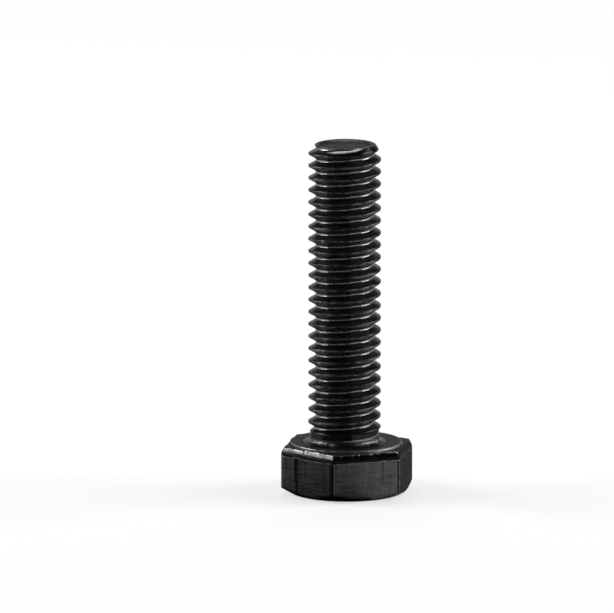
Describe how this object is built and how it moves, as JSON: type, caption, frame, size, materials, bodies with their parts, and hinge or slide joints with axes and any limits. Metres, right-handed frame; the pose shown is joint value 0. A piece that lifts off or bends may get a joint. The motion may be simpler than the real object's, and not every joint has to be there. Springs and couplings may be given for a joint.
{
  "type": "hex bolt",
  "caption": "Fully threaded hexagon head bolt in black oxide steel, size M6 x 1 with a 24.4 mm shank, for clamping parts with a nut or tapped hole.",
  "frame": {"origin": "centre of the bearing face under the head, on the bolt's axis", "axes": "+Z along the shank from the head to the tip, X through two opposite corners of the hexagon, Y square to two of its flats"},
  "size_m": [0.0112, 0.0098, 0.0285],
  "materials": {
    "black_oxide_steel": "black oxide conversion coating, lightly oiled, satin"
  },
  "bodies": {
    "root": {"hex_bolt": "black_oxide_steel"}
  },
  "joints": []
}
